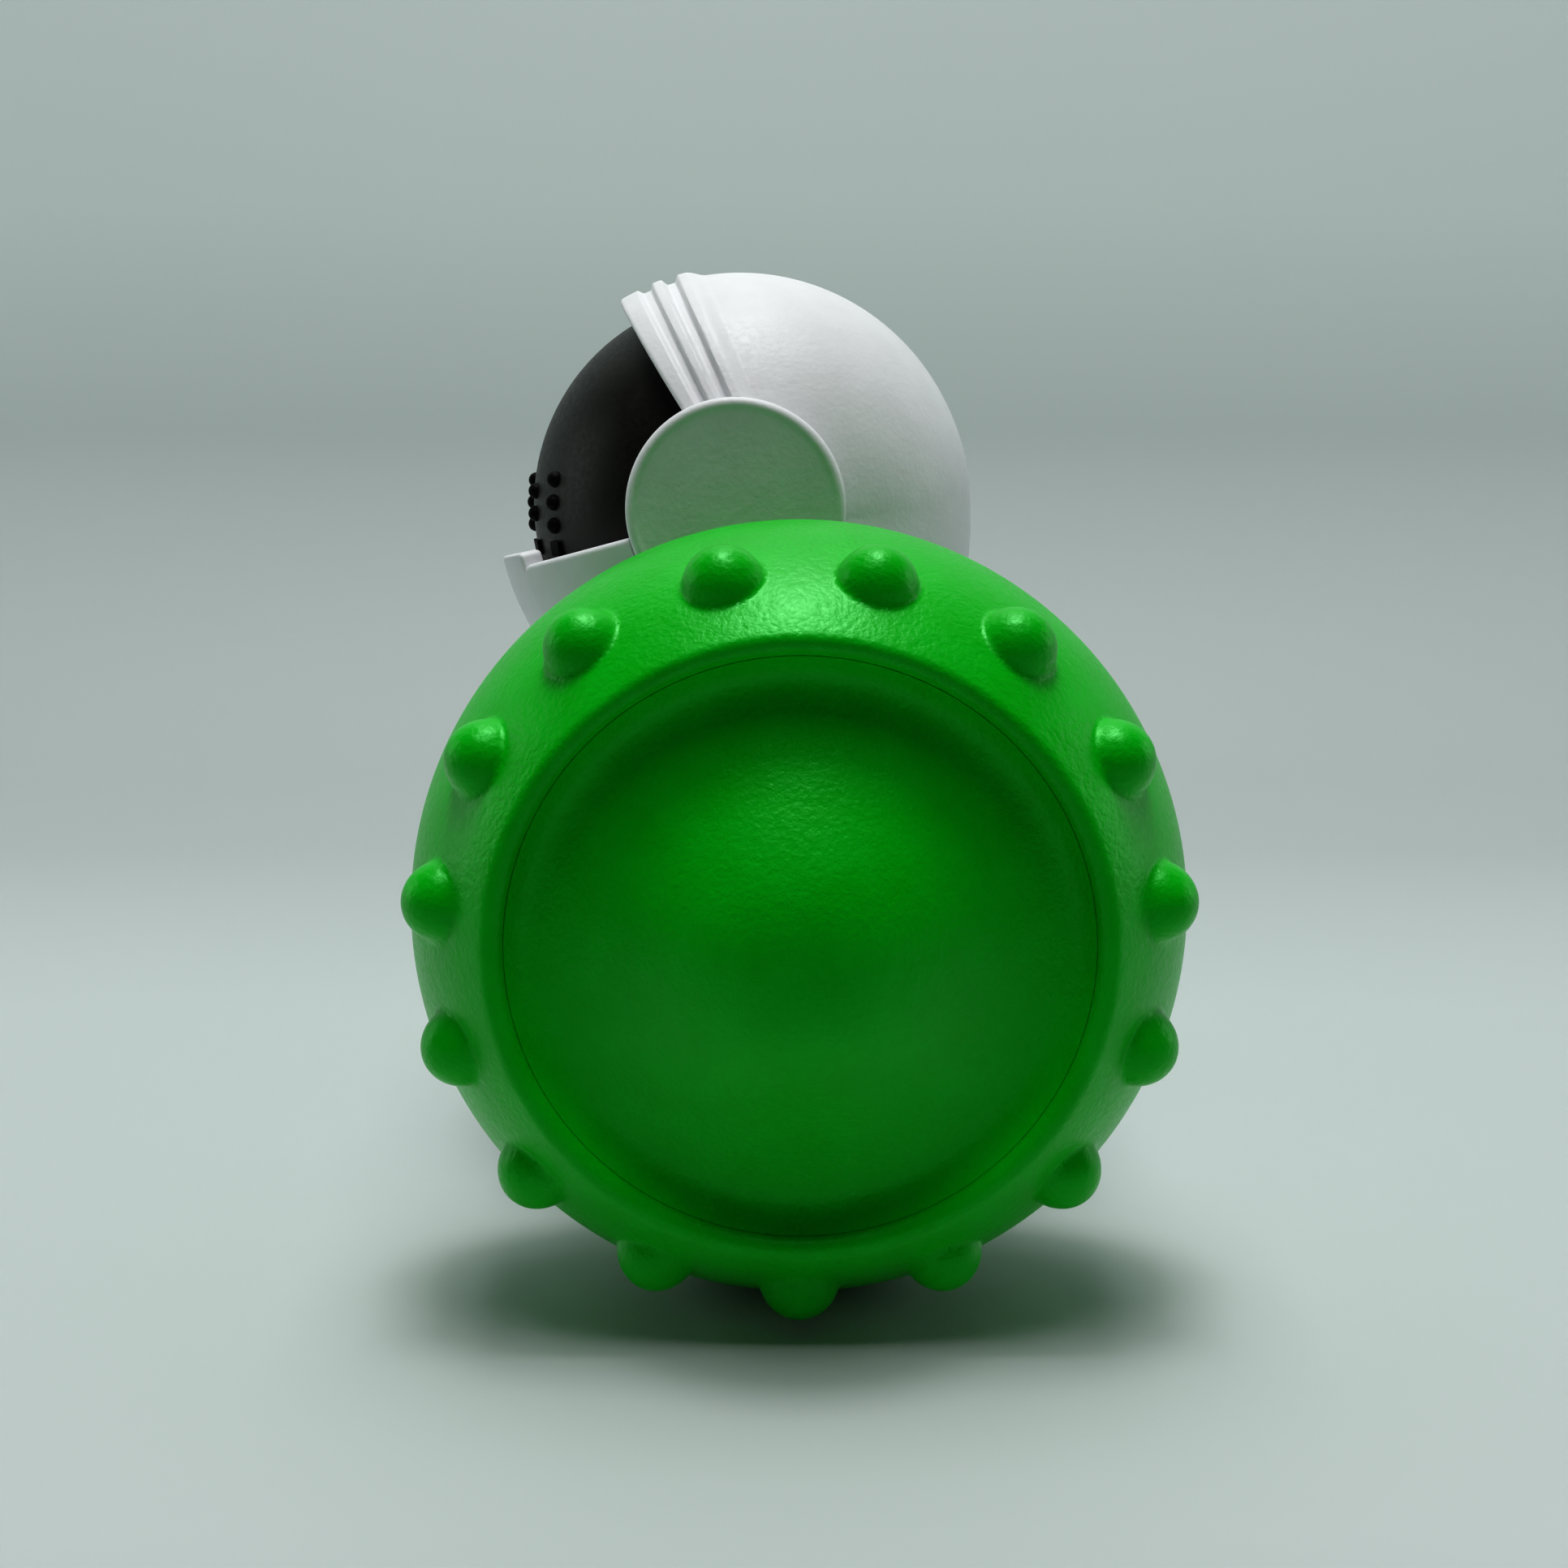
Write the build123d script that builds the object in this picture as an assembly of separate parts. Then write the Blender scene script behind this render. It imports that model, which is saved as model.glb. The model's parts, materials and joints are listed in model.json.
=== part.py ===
"""Two-wheeled toy robot: knobbed ball wheels on a shared axle, a weighted pod between them and a
turning ball head with a tilting helmet shell and a chin strap.

Frame: millimetres, +Z up, the robot faces -X, its left side is -Y. The origin is on the ground under
the middle of the axle.
"""

from build123d import *
from math import asin, atan2, cos, degrees, exp, radians, sin, sqrt
import os

# ---------------------------------------------------------------- driving dimensions
WHEEL_R = 20.0  # rolling radius, at the wheel's widest plane
WHEEL_PLANE_Y = 23.2  # distance of that plane from the middle of the robot
OUTER_BULGE = 16.4  # half-axis of the ellipse that forms the outer side
INNER_BULGE = 8.0  # half-axis of the ellipse that forms the inner side
INNER_FACE = 7.0  # flat inner face, measured from the widest plane
SEAM = -1.0  # parting plane of the two wheel shells, just inside the widest plane
RIM_R = 14.1  # sharp radius of the dish rim, before it is rounded
RIM_ROUND = 0.8
DISH_R = 13.2  # foot of the dish wall
DISH_FLOOR = 3.4
FLOOR_WALL = 1.4
WHEEL_WALL = 1.6
DOME_VALLEY = 8.9  # height of the hub dome's face round its bell-shaped middle
DOME_RISE = 5.7  # how far the bell stands above that
DOME_SPREAD = 5.5  # radius at which the bell is steepest
DOME_LIP_START = 12.0  # from here the face curls up to the rim
DOME_LIP_CURVE = 0.27
DOME_SEAM = 10.1  # height at which it meets the dish wall, where the rim's rounding begins
DOME_WALL = 1.3
DOME_GAP = 0.08  # between the dome's skirt and the dish wall
DOME_SPIGOT = (4.2, 5.15)  # inner and outer radius of the spigot that snaps into the floor

KNOB_COUNT = 15
KNOB_R = 2.05  # radius of each knob's dome
KNOB_RING_R = 17.7  # where the knob's axis leaves the wheel surface
KNOB_SINK = 0.45  # how far the dome's centre lies under that surface

AXLE_R = 1.5
AXLE_END = 26.6  # half the axle's length
RUNNING_GAP = 0.05  # radial clearance of every running fit
BUSH_R = 3.0
BUSH_FLANGE_R = 4.2
BUSH_FLANGE = 0.4
BUSH_END = 1.9  # height of the bush's outer end
HUB_BOSS_R = 4.6
HUB_BOSS_END = 1.6
WHEEL_SCREW_RING_R = 8.4
WHEEL_SCREW_COUNT = 3
WHEEL_SCREW_BOSS_R = 2.2
INNER_WALL = 1.5
CLIP_R = 3.2
CLIP = (2.0, 2.8)  # the clip on the axle, measured from the wheel's widest plane
SCREW_R = 0.75
SCREW_CLEAR_R = 0.9
SCREW_HEAD_R = 1.6
SCREW_HEAD = 0.8

POD_R = 16.0
POD_HALF_Y = 13.2
POD_DECK = 10.0  # flat top, above the axle
POD_BELLY = 15.0  # flat underside, below the axle
POD_WALL = 1.6
POD_ROUND = 0.8
POD_BOSS_R = 3.6
POD_SCREW_X = 12.0
POD_SCREW_Z = 4.6
POD_SCREW_BOSS_R = 1.9
POD_BOSS_LENGTH = 4.2
BALLAST_HALF_X = 9.2
BALLAST_SHIFT_X = 1.0  # moves the weight rearwards, against the head's overhang
BALLAST_HALF_Y = 11.0
BALLAST_TOP = 5.2  # below the axle
BALLAST_R = 13.7

HEAD = (-3.42, 0.0, 40.42)  # centre of the ball head, and the helmet's pivot axis along Y
BALL_R = 12.85
BALL_WALL = 1.3
BALL_FLAT_Y = 11.45  # flat under each ear
DISH_CLEAR_R = 15.5  # spherical clearance around the head, cut into the pod
BALL_SCREW_Y = 6.0
BALL_SCREW_BOSS_R = 1.9
EAR_BOSS_R = 2.6
NECK_R = 2.5
NECK_BUSH_R = 3.6
NECK_BUSH_FLANGE_R = 4.8
NECK_FLANGE_R = 4.4
NECK_CAP_R = 4.0
NECK_BOTTOM = 22.1  # heights above the ground from here on
NECK_FLANGE_TOP = 23.5
NECK_BUSH_BOTTOM = 23.6
NECK_SEAT = 26.0
NECK_BUSH_TOP = 26.6
NECK_CAP_BOTTOM = 30.2
NECK_TOP = 31.55

HELMET_IN_R = 13.05
HELMET_OUT_R = 14.15
RIB_R = 14.5
HEM_R = 14.65
HELMET_FRONT = 59.4  # angles about the pivot axis, from straight ahead (-X), upwards
HELMET_REAR = 225.0
RIBS = [(59.4, 64.8), (68.1, 70.8), (73.9, 77.2)]  # where they cross the middle of the shell
RIB_FAN = 23.0  # their planes fan out from a line this far below the pivot, along the front edge
HEM = (204.0, 225.0)
HELMET_RING = (12.15, 12.9)  # the shell's pivot ring, along Y
STRAP_RING = (11.5, 12.05)  # the strap's ring, under it
RING_R = 5.9
PIN_R = 1.2

STRAP_IN_R = 13.2
STRAP_OUT_R = 15.3
STRAP_TOP = -15.0
STRAP_BOTTOM = -31.0
STRAP_SEAT_R = 13.75  # the strap is thinned to this radius behind the chin plate
PLATE_OUT_R = 15.1
PLATE_TOP = -11.6
PLATE_HALF_Y = 7.5
PLATE_PEG_R = 0.5

EAR_R = 6.07
EAR_Y = (13.0, 15.2)
EAR_ROUND = 0.4
EAR_RECESS = 0.08

FACE_KNOB_R = 0.48
FACE_COLUMNS = {0: (7.4, 1.4, -4.6), 16: (4.4, -1.6), 32: (7.4, 1.4, -4.6)}  # azimuth: elevations
PAD_AZIMUTHS = (-32, -16, 0, 16, 32)
PAD_ELEVATION = -10.6
PAD_SIZE = (0.9, 1.0)
PAD_PROUD = 0.25

os.makedirs("parts", exist_ok=True)

ALONG_Y = Rot(90, 0, 0)  # turns a shape built about +Z so that its +Z points to -Y


def write(name, shape):
    """Writes one node; a list becomes a group of separate solids."""
    shape = Compound(children=list(shape)) if isinstance(shape, list) else shape
    export_step(shape, f"parts/{name}.step")


def tube(outer, inner, low, high):
    """A ring about +Z between two heights."""
    ring = Pos(0, 0, (low + high) / 2) * Cylinder(outer, high - low)
    return ring - Pos(0, 0, (low + high) / 2) * Cylinder(inner, high - low + 1)


def rod(radius, low, high):
    return Pos(0, 0, (low + high) / 2) * Cylinder(radius, high - low)


def screw(tip, head_top):
    """A pan screw about +Z with its head at the top."""
    return rod(SCREW_R, tip, head_top - SCREW_HEAD) + rod(SCREW_HEAD_R - 0.1, head_top - SCREW_HEAD, head_top)


# ---------------------------------------------------------------- wheels, built about +Z, outer side up
def ellipse_height(radius, half_width, at_radius):
    return half_width * sqrt(1 - (at_radius / radius) ** 2)


def ellipse_radius(radius, half_width, at_height):
    return radius * sqrt(1 - (at_height / half_width) ** 2)


def quarter_ellipse(radius, half_width, start, end):
    """Arc of an ellipse about the wheel's axis, from height start to height end, in the XZ plane."""
    first, last = [degrees(asin(height / half_width)) for height in (start, end)]
    return EllipticalCenterArc((0, 0), radius, half_width, first, arc_size=last - first)


def turned(lines):
    """Turns a closed outline (x is radius, y is height) about +Z."""
    outline = Curve() + lines
    return revolve(Plane.XZ * make_face(outline), Axis.Z)


def wheel_outline():
    rim_height = ellipse_height(WHEEL_R, OUTER_BULGE, RIM_R)
    face_r = ellipse_radius(WHEEL_R, INNER_BULGE, INNER_FACE)
    dish = [(RIM_R, rim_height), (DISH_R, DISH_FLOOR), (0, DISH_FLOOR)]
    solid = turned(
        [
            Polyline(*dish, (0, -INNER_FACE), (face_r, -INNER_FACE)),
            quarter_ellipse(WHEEL_R, INNER_BULGE, -INNER_FACE, 0),
            quarter_ellipse(WHEEL_R, OUTER_BULGE, 0, rim_height),
        ]
    )
    rim = solid.edges().filter_by(GeomType.CIRCLE).sort_by(Axis.Z)[-1]
    return fillet(rim, RIM_ROUND)


def wheel_cavity():
    radius = WHEEL_R - WHEEL_WALL
    outer_half = OUTER_BULGE - WHEEL_WALL
    inner_half = INNER_BULGE - INNER_WALL
    inner_face = INNER_FACE - INNER_WALL
    shoulder = 6.0
    pocket_r = DISH_R + 1.5
    floor = DISH_FLOOR - FLOOR_WALL
    return turned(
        [
            Polyline(
                (ellipse_radius(radius, outer_half, shoulder), shoulder),
                (pocket_r + 0.3, shoulder),
                (pocket_r, floor),
                (0, floor),
                (0, -inner_face),
                (ellipse_radius(radius, inner_half, inner_face), -inner_face),
            ),
            quarter_ellipse(radius, inner_half, -inner_face, 0),
            quarter_ellipse(radius, outer_half, 0, shoulder),
        ]
    )


def knobs():
    """The ring of domes on the outer shoulder; the first one stands at -Y."""
    height = ellipse_height(WHEEL_R, OUTER_BULGE, KNOB_RING_R)
    normal = Vector(KNOB_RING_R / WHEEL_R**2, 0, height / OUTER_BULGE**2).normalized()
    centre = Vector(KNOB_RING_R, 0, height) - normal * KNOB_SINK
    step = 360 / KNOB_COUNT
    return [Rot(0, 0, -90 + step * i) * Pos(centre) * Sphere(KNOB_R) for i in range(KNOB_COUNT)]


def around(count, radius, shape):
    return [Rot(0, 0, 360 / count * i) * Pos(radius, 0, 0) * shape for i in range(count)]


def dome_height(radius):
    """Face of the hub dome: a bell, a valley round it and a lip that curls up to the rim."""
    bell_rise = DOME_RISE * exp(-((radius / DOME_SPREAD) ** 2) / 2)
    lip_rise = DOME_LIP_CURVE * max(0.0, radius - DOME_LIP_START) ** 2
    return DOME_VALLEY + bell_rise + lip_rise


def bell(first, last, drop=0.0):
    """Curve on the dome's face, or the same curve lowered, between two radii."""
    steps = 18
    radii = [first + (last - first) * i / steps for i in range(steps + 1)]
    return Spline(*[(radius, dome_height(radius) - drop) for radius in radii])


def wall_radius(height):
    """Radius of the dish wall at a height."""
    rim_height = ellipse_height(WHEEL_R, OUTER_BULGE, RIM_R)
    return DISH_R + (RIM_R - DISH_R) * (height - DISH_FLOOR) / (rim_height - DISH_FLOOR)


def hub_dome():
    """Bell-shaped cap with a skirt that stands on the dish floor and a spigot through it."""
    edge_r = wall_radius(DOME_SEAM) - DOME_GAP
    foot = DISH_FLOOR + 0.05
    foot_r = wall_radius(foot) - DOME_GAP
    skirt_foot = [(foot_r, foot), (foot_r - DOME_WALL, foot)]
    under_r = edge_r - DOME_WALL
    spigot_in, spigot_out = DOME_SPIGOT
    floor = DISH_FLOOR - FLOOR_WALL

    def under(radius):
        return radius, dome_height(radius) - DOME_WALL

    return turned(
        [
            bell(0, edge_r),
            Polyline((edge_r, dome_height(edge_r)), *skirt_foot, under(under_r)),
            bell(under_r, spigot_out, DOME_WALL),
            Polyline(under(spigot_out), (spigot_out, floor), (spigot_in, floor), under(spigot_in)),
            bell(spigot_in, 0, DOME_WALL),
            Line(under(0), (0, dome_height(0))),
        ]
    )


def wheel_pieces():
    """All pieces of one wheel about +Z, with its widest plane at height 0."""
    floor = DISH_FLOOR - FLOOR_WALL
    inner_wall = -INNER_FACE + INNER_WALL
    span = 3 * WHEEL_R
    body = wheel_outline() + knobs() - wheel_cavity()

    outer = body & (Pos(0, 0, SEAM + span / 2) * Box(span, span, span))
    outer -= rod(DOME_SPIGOT[1], floor - 1, DISH_FLOOR + 1)
    screw_boss = rod(WHEEL_SCREW_BOSS_R, inner_wall + 0.25, floor + 0.2)
    outer += around(WHEEL_SCREW_COUNT, WHEEL_SCREW_RING_R, screw_boss)
    outer -= around(WHEEL_SCREW_COUNT, WHEEL_SCREW_RING_R, rod(SCREW_R, inner_wall - 1, 0.5))

    inner = body & (Pos(0, 0, SEAM - span / 2) * Box(span, span, span))
    inner += rod(HUB_BOSS_R, -INNER_FACE + 0.1, HUB_BOSS_END)
    inner -= rod(BUSH_R, -INNER_FACE - 1, 2)
    screw_hole = rod(SCREW_CLEAR_R, -INNER_FACE - 1, inner_wall + 1)
    screw_seat = rod(SCREW_HEAD_R, -INNER_FACE - 1, -INNER_FACE + SCREW_HEAD)
    for cut in (screw_hole, screw_seat):
        inner -= around(WHEEL_SCREW_COUNT, WHEEL_SCREW_RING_R, cut)

    bush = rod(BUSH_R, -INNER_FACE, BUSH_END)
    bush += rod(BUSH_FLANGE_R, -INNER_FACE - BUSH_FLANGE, -INNER_FACE)
    bush -= rod(AXLE_R + RUNNING_GAP, -INNER_FACE - 2, 3)

    one_screw = Rot(180, 0, 0) * screw(-0.4, INNER_FACE)
    screws = around(WHEEL_SCREW_COUNT, WHEEL_SCREW_RING_R, one_screw)
    return {
        "wheel_outer_shell": [outer],
        "wheel_inner_shell": [inner],
        "wheel_hub_dome": [hub_dome()],
        "wheel_bush": [bush],
        "wheel_screws": screws,
    }


# ---------------------------------------------------------------- pod and axle, about the axle's centre
def pod_halves():
    head = Pos(HEAD[0], HEAD[1], HEAD[2] - WHEEL_R)
    across = 4 * POD_R

    def slab(low, high, half_y):
        return Pos(0, 0, (low + high) / 2) * Box(across, 2 * half_y, high - low)

    drum = ALONG_Y * Cylinder(POD_R, 2 * POD_HALF_Y)
    shell = drum & slab(-POD_BELLY, POD_DECK, POD_HALF_Y)
    ends = shell.faces().sort_by(Axis.Y)
    shell = fillet(ends[0].edges() + ends[-1].edges(), POD_ROUND)
    shell -= head * Sphere(DISH_CLEAR_R)
    cavity = ALONG_Y * Cylinder(POD_R - POD_WALL, 2 * (POD_HALF_Y - POD_WALL))
    cavity = cavity & slab(POD_WALL - POD_BELLY, POD_DECK - POD_WALL, POD_HALF_Y)
    cavity -= head * Sphere(DISH_CLEAR_R + POD_WALL)
    shell -= cavity
    neck = Pos(HEAD[0], 0, -WHEEL_R)
    shell += neck * rod(NECK_BUSH_R + 2, NECK_BUSH_BOTTOM, NECK_SEAT)
    shell -= neck * rod(NECK_BUSH_R, NECK_BOTTOM, NECK_TOP)
    for side in (-1, 1):
        boss = Cylinder(POD_BOSS_R, POD_BOSS_LENGTH)
        shell += Pos(0, side * (POD_HALF_Y - POD_BOSS_LENGTH / 2), 0) * ALONG_Y * boss
    shell -= ALONG_Y * Cylinder(AXLE_R, across)

    places = [Pos(x * POD_SCREW_X, 0, z * POD_SCREW_Z) for x in (-1, 1) for z in (-1, 1)]
    inside = 2 * (POD_HALF_Y - 0.2)
    for place in places:
        shell += place * ALONG_Y * Cylinder(POD_SCREW_BOSS_R, inside)
    for place in places:
        shell -= place * ALONG_Y * rod(SCREW_R, -POD_HALF_Y - 1, POD_HALF_Y - 3)
        shell -= place * ALONG_Y * rod(SCREW_HEAD_R, -POD_HALF_Y - 1, -POD_HALF_Y + SCREW_HEAD)
    left = shell & (Pos(0, -across / 2, 0) * Box(across, across, across))
    right = shell & (Pos(0, across / 2, 0) * Box(across, across, across))
    one_screw = ALONG_Y * Rot(180, 0, 0) * screw(-(POD_HALF_Y - 3.5), POD_HALF_Y)
    return left, right, [place * one_screw for place in places]


def ballast():
    round_part = ALONG_Y * Cylinder(BALLAST_R, 2 * BALLAST_HALF_Y)
    low = POD_WALL - POD_BELLY + 0.2
    block = Box(2 * BALLAST_HALF_X, 2 * BALLAST_HALF_Y, -BALLAST_TOP - low)
    return round_part & (Pos(BALLAST_SHIFT_X, 0, (low - BALLAST_TOP) / 2) * block)


# ---------------------------------------------------------------- head, about its own centre
def sector(start, end, radius=30.0):
    """Wedge about the Y axis between two angles measured from -X upwards."""
    on_axis = (Align.NONE, Align.NONE, Align.CENTER)
    wedge = Cylinder(radius, 2 * radius, arc_size=end - start, align=on_axis)
    return Rot(0, end - 180, 0) * ALONG_Y * wedge


def shell_of(outer, inner):
    return Sphere(outer) - Sphere(inner)


def both_sides(shape):
    return [ALONG_Y * shape, Rot(-90, 0, 0) * shape]


def on_ball(azimuth, elevation):
    """Turns +Z to the direction at this azimuth (towards -Y) and elevation, from straight ahead."""
    return Rot(0, 0, azimuth) * Rot(0, -90 + elevation, 0)


def ball_halves():
    span = 60.0
    ball = shell_of(BALL_R, BALL_R - BALL_WALL)
    for piece in both_sides(rod(EAR_BOSS_R, 7.4, 11.6)):
        ball += piece
    screw_places = [Pos(0, side * BALL_SCREW_Y, 0) * Rot(0, 90, 0) for side in (-1, 1)]
    for place in screw_places:
        ball += place * rod(BALL_SCREW_BOSS_R, -9.6, 9.6)
    ball = ball & Sphere(BALL_R) & Box(span, 2 * BALL_FLAT_Y, span)
    for piece in both_sides(rod(PIN_R, 0, 15)):
        ball -= piece
    ball -= rod(NECK_R, -BALL_R - 1, -8)
    head_seat = 9.0
    for place in screw_places:
        ball -= place * rod(SCREW_R, -7.0, 15)
        ball -= place * rod(SCREW_HEAD_R, head_seat, 15)
    front = ball & (Pos(-span / 2, 0, 0) * Box(span, span, span))
    rear = ball & (Pos(span / 2, 0, 0) * Box(span, span, span))
    screws = [place * screw(-6.5, head_seat + SCREW_HEAD) for place in screw_places]
    return front, rear, screws


def face_knobs():
    dome = Pos(0, 0, BALL_R + 0.02) * Sphere(FACE_KNOB_R) - Sphere(BALL_R)
    result = []
    for azimuth, elevations in FACE_COLUMNS.items():
        for side in (-1, 1) if azimuth else (1,):
            result += [on_ball(side * azimuth, elevation) * dome for elevation in elevations]
    return result


def face_pads():
    pad = Pos(0, 0, BALL_R) * Box(PAD_SIZE[0], PAD_SIZE[1], 4)
    pad = (pad & Sphere(BALL_R + PAD_PROUD)) - Sphere(BALL_R)
    pad = fillet(pad.edges().filter_by(GeomType.LINE), 0.12)
    return [on_ball(azimuth, PAD_ELEVATION) * pad for azimuth in PAD_AZIMUTHS]


def rib_wedge(start, end):
    """Wedge between the planes of two rib edges."""

    def turn(angle):
        behind = radians(angle - HELMET_FRONT)
        return degrees(atan2(RIB_R * sin(behind), RIB_R * cos(behind) + RIB_FAN))

    front = radians(HELMET_FRONT)
    fan_line = Pos(RIB_FAN * cos(front), 0, -RIB_FAN * sin(front))
    return fan_line * sector(HELMET_FRONT + turn(start), HELMET_FRONT + turn(end), 60)


def helmet_shell():
    ears = ALONG_Y * Cylinder(RING_R, 60)
    shell = shell_of(HELMET_OUT_R, HELMET_IN_R) & sector(HELMET_FRONT, HELMET_REAR)
    for start, end in RIBS:
        rib = shell_of(RIB_R, HELMET_IN_R + 0.3) & rib_wedge(start, end)
        shell += rib & sector(HELMET_FRONT, HELMET_REAR)
    shell += shell_of(HEM_R, HELMET_IN_R + 0.3) & sector(*HEM)
    shell -= ears
    for piece in both_sides(rod(EAR_R + 0.15, HELMET_RING[1], 30)):
        shell -= piece
    ring = tube(RING_R, PIN_R + RUNNING_GAP, *HELMET_RING)
    joiner = tube(RING_R + 0.3, RING_R - 0.5, *HELMET_RING)
    for piece in both_sides(ring):
        shell += piece
    for piece in both_sides(joiner):
        shell += piece & sector(HELMET_FRONT, HELMET_REAR)
    return shell


def chin_strap():
    span = 60.0
    strap = shell_of(STRAP_OUT_R, STRAP_IN_R) & sector(STRAP_BOTTOM, STRAP_TOP)
    strap -= ALONG_Y * Cylinder(RING_R + 0.3, span)
    seat = shell_of(STRAP_OUT_R + 1, STRAP_SEAT_R) & Box(span, 2 * PLATE_HALF_Y, span)
    strap -= seat
    ring = tube(RING_R - 0.1, PIN_R + 0.01, *STRAP_RING)
    joiner = tube(RING_R + 0.7, RING_R - 0.6, *STRAP_RING)
    for piece in both_sides(ring):
        strap += piece
    for piece in both_sides(joiner):
        strap += (piece & sector(STRAP_BOTTOM, STRAP_TOP)) - Sphere(STRAP_IN_R)
    for peg in plate_pegs():
        strap -= peg
    return strap


def plate_pegs():
    middle = (STRAP_TOP + STRAP_BOTTOM) / 2
    peg = rod(PLATE_PEG_R, STRAP_IN_R + 0.1, STRAP_SEAT_R + 0.4)
    return [on_ball(azimuth, middle) * peg for azimuth in (-18, 18)]


def chin_plate():
    span = 60.0
    plate = shell_of(PLATE_OUT_R, STRAP_SEAT_R) & sector(STRAP_BOTTOM, PLATE_TOP)
    plate = plate & Box(span, 2 * (PLATE_HALF_Y - 0.05), span)
    for peg in plate_pegs():
        plate += peg
    return plate


def ear_cap():
    cap = rod(EAR_R, *EAR_Y)
    cap = fillet(cap.edges().sort_by(Axis.Z)[-1], EAR_ROUND)
    cap -= rod(EAR_R - EAR_ROUND - 0.1, EAR_Y[1] - EAR_RECESS, EAR_Y[1] + 1)
    return cap - rod(PIN_R, EAR_Y[0] - 1, EAR_Y[0] + 1.2)


def neck_post():
    post = rod(NECK_R, NECK_BOTTOM, NECK_TOP)
    post += rod(NECK_FLANGE_R, NECK_BOTTOM, NECK_FLANGE_TOP)
    return post + rod(NECK_CAP_R, NECK_CAP_BOTTOM, NECK_TOP)


def neck_bush():
    inner = NECK_R + RUNNING_GAP
    bush = tube(NECK_BUSH_R, inner, NECK_BUSH_BOTTOM, NECK_SEAT)
    return bush + tube(NECK_BUSH_FLANGE_R, inner, NECK_SEAT, NECK_BUSH_TOP)


# ---------------------------------------------------------------- write every node
def main():
    axle_height = Pos(0, 0, WHEEL_R)
    for side, turn, first in (("left", ALONG_Y, 0), ("right", Rot(-90, 0, 0), 180)):
        sign = -1 if side == "left" else 1
        place = axle_height * Pos(0, sign * WHEEL_PLANE_Y, 0) * turn * Rot(0, 0, first)
        for name, pieces in wheel_pieces().items():
            solids = [place * piece for piece in pieces]
            write(f"{side}_{name}", solids if len(solids) > 1 else solids[0])
        out = axle_height * turn
        bush_face = WHEEL_PLANE_Y - INNER_FACE - BUSH_FLANGE
        washer = tube(BUSH_R, AXLE_R + RUNNING_GAP, POD_HALF_Y + 0.05, bush_face - 0.1)
        write(f"{side}_axle_spacer", out * washer)
        write(f"{side}_axle_clip", out * tube(CLIP_R, AXLE_R, *[WHEEL_PLANE_Y + at for at in CLIP]))
        ear = Pos(*HEAD) * turn
        write(f"{side}_ear_cap", ear * ear_cap())
        write(f"{side}_ear_pin", ear * rod(PIN_R, 7.6, EAR_Y[0] + 1.1))

    write("axle", axle_height * ALONG_Y * Cylinder(AXLE_R, 2 * AXLE_END))
    left, right, screws = pod_halves()
    write("pod_left_shell", axle_height * left)
    write("pod_right_shell", axle_height * right)
    write("pod_screws", [axle_height * piece for piece in screws])
    write("ballast_weight", axle_height * ballast())

    head = Pos(*HEAD)
    neck = Pos(HEAD[0], 0, 0)
    write("neck_post", neck * neck_post())
    write("neck_bush", neck * neck_bush())
    front, rear, screws = ball_halves()
    write("face_ball_front", head * front)
    write("head_ball_rear", head * rear)
    write("head_screws", [head * piece for piece in screws])
    write("face_knobs", [head * piece for piece in face_knobs()])
    write("face_pads", [head * piece for piece in face_pads()])
    write("helmet_shell", head * helmet_shell())
    write("chin_strap", head * chin_strap())
    write("chin_plate", head * chin_plate())


main()
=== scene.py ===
"""Looks of the two-wheeled toy robot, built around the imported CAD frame.

Metres, +Z up. The robot faces -X and its left side is -Y. Places come from the frame; the shapes below
are worked out from them and from a few proportions of the wheel and the head.
"""

import json
from math import acos, asin, atan2, cos, pi, radians, sin, sqrt

import bmesh
import bpy
import numpy as np
from mathutils import Matrix, Vector


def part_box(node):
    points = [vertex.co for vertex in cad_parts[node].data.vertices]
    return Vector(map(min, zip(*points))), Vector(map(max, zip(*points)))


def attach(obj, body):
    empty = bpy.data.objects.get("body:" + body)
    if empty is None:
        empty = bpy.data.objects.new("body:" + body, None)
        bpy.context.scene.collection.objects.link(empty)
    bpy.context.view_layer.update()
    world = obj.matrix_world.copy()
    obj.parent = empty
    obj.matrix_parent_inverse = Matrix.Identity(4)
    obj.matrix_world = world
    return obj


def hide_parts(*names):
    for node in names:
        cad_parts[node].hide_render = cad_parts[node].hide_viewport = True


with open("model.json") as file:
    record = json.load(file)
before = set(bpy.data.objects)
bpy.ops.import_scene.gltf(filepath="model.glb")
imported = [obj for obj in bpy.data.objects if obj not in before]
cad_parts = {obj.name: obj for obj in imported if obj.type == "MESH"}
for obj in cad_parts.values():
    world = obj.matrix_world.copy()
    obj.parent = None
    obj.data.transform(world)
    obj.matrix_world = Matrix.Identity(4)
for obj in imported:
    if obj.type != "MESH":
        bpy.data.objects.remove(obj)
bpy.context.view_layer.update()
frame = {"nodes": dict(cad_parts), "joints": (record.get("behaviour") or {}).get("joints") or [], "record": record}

MM = 0.001

# ---------------------------------------------------------------- places from the frame
wheel_low, wheel_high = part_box("left_wheel_outer_shell")
WHEEL_R = (wheel_high.x - wheel_low.x) / 2
AXLE_Z = (wheel_high.z + wheel_low.z) / 2
JOINT_AT = {joint["name"]: Vector(joint["pos_m"]) for joint in frame["joints"]}
WHEEL_Y = abs(JOINT_AT["left_wheel_spin"].y)
HEAD = JOINT_AT["helmet_tilt"]
EAR_LOW, EAR_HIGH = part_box("left_ear_cap")
EAR_R = (EAR_HIGH.x - EAR_LOW.x) / 2
EAR_Y = (-EAR_HIGH.y, -EAR_LOW.y)

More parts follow.
